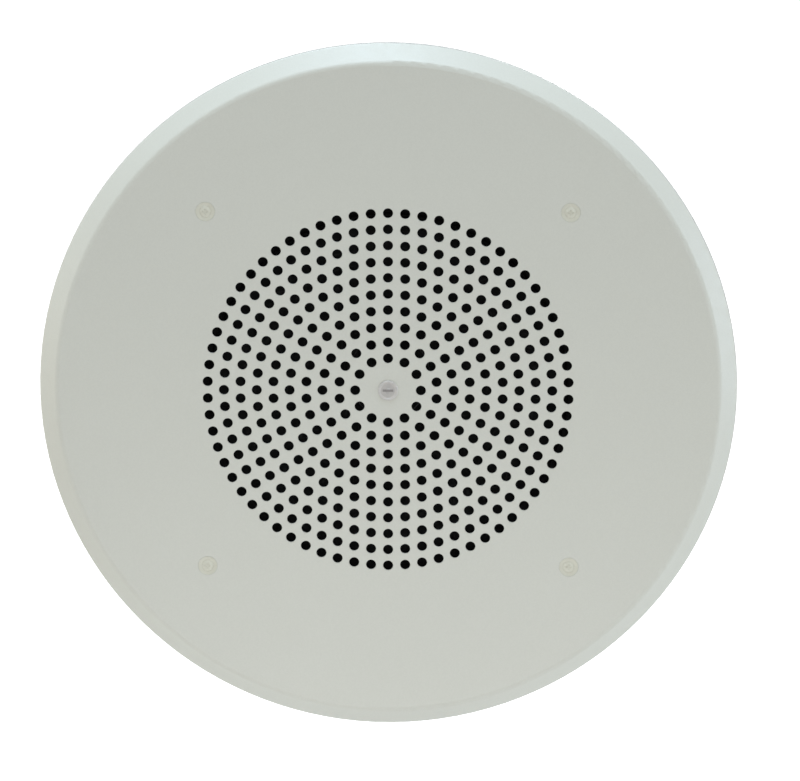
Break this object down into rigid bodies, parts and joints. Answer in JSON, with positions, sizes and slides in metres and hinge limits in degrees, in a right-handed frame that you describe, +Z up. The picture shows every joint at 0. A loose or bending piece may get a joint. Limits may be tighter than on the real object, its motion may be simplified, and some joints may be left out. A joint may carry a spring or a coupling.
{
  "type": "alarm loudspeaker",
  "caption": "Flush round alarm loudspeaker: perforated steel face plate with a cone driver, line transformer and rotary tap selector on its back.",
  "frame": {"origin": "on the driver's axis, in the plane of the rim's back edge, which lies on the wall or ceiling", "axes": "the face looks along -Y, the driver stands behind it along +Y, +Z is up and +X is the selector's side"},
  "size_m": [0.327, 0.0784, 0.327],
  "materials": {
    "badge_metal": "satin, painted with the face",
    "bobbin_nylon": "natural nylon",
    "bracket_steel": "yellow-passivated zinc",
    "cap_paper": "black felted paper",
    "clip_nylon": "natural nylon",
    "coil_tape": "amber polyester tape",
    "cone_paper": "black pressed paper pulp",
    "copper_winding": "enamelled copper wire",
    "dial_plate": "black anodised, engraved marks",
    "face_paint": "satin off-white powder coat",
    "ferrite": "matt dark grey ground ferrite",
    "former_kraft": "brown varnished kraft paper",
    "frame_steel": "galvanised, stamped",
    "gasket_board": "black pressed board",
    "knob_plastic": "black moulded plastic",
    "lamination_steel": "varnished silicon steel laminations",
    "lead_black": "PVC insulation",
    "lead_brown": "PVC insulation",
    "lead_green": "PVC insulation",
    "lead_orange": "PVC insulation",
    "lead_red": "PVC insulation",
    "lead_white": "PVC insulation",
    "lead_yellow": "PVC insulation",
    "motor_steel": "zinc plated, turned",
    "painted_screw": "zinc-plated shank, head painted with the face",
    "phenolic": "brown phenolic paper laminate",
    "spider_cloth": "resin-treated cotton",
    "surround_cloth": "treated black cloth",
    "switch_plastic": "dark brown moulded phenolic",
    "terminal_plastic": "natural polyamide",
    "tinned_brass": "tinned",
    "tinsel_braid": "braided copper tinsel",
    "zinc_steel": "zinc plated"
  },
  "bodies": {
    "chassis": {"back_plate": "motor_steel", "badge": "badge_metal", "baffle": "face_paint", "basket": "frame_steel", "bracket_rivets": "zinc_steel", "gasket": "gasket_board", "lead_clip": "clip_nylon", "line_lead": "lead_white", "lock_washers": "zinc_steel", "magnet": "ferrite", "mounting_screws": "painted_screw", "plate_rivets": "zinc_steel", "pole_piece": "motor_steel", "primary_lead_common": "lead_black", "primary_lead_tap_1": "lead_brown", "primary_lead_tap_2": "lead_red", "primary_lead_tap_3": "lead_orange", "primary_lead_tap_4": "lead_yellow", "selector_body": "switch_plastic", "selector_bracket": "bracket_steel", "selector_bushing": "zinc_steel", "selector_dial": "dial_plate", "selector_lugs": "tinned_brass", "selector_nut": "zinc_steel", "selector_washer": "zinc_steel", "speaker_lead_left": "lead_green", "speaker_lead_right": "lead_black", "speaker_nuts": "zinc_steel", "speaker_studs": "zinc_steel", "spider": "spider_cloth", "surround": "surround_cloth", "switch_bracket": "bracket_steel", "switch_bracket_rivets": "zinc_steel", "terminal_block": "terminal_plastic", "terminal_block_screws": "zinc_steel", "terminal_board": "phenolic", "terminal_lugs": "tinned_brass", "terminal_rivets": "tinned_brass", "tinsel_lead_left": "tinsel_braid", "tinsel_lead_right": "tinsel_braid", "top_plate": "motor_steel", "transformer_bobbin": "bobbin_nylon", "transformer_bracket": "bracket_steel", "transformer_coil": "coil_tape", "transformer_core": "lamination_steel", "transformer_nuts": "zinc_steel", "transformer_screws": "zinc_steel", "transformer_strap": "zinc_steel"},
    "cone_assembly": {"cone": "cone_paper", "cone_eyelets": "tinned_brass", "dust_cap": "cap_paper", "voice_coil_former": "former_kraft", "voice_coil_winding": "copper_winding"},
    "tap_selector": {"selector_shaft": "zinc_steel", "selector_knob": "knob_plastic", "knob_set_screw": "zinc_steel"}
  },
  "joints": [
    {"name": "cone_drive", "type": "slide", "parent": "chassis", "child": "cone_assembly", "axis": [0, 1, 0], "range_m": [-0.003, 0.003], "stiffness_N_per_m": 3800, "deforming": ["surround", "spider", "tinsel_lead_left", "tinsel_lead_right"]},
    {"name": "tap_selector_turn", "type": "hinge", "parent": "chassis", "child": "tap_selector", "pos_m": [0.088, 0.0475, 0], "axis": [1, 0, 0], "range_deg": [-60, 60]}
  ]
}
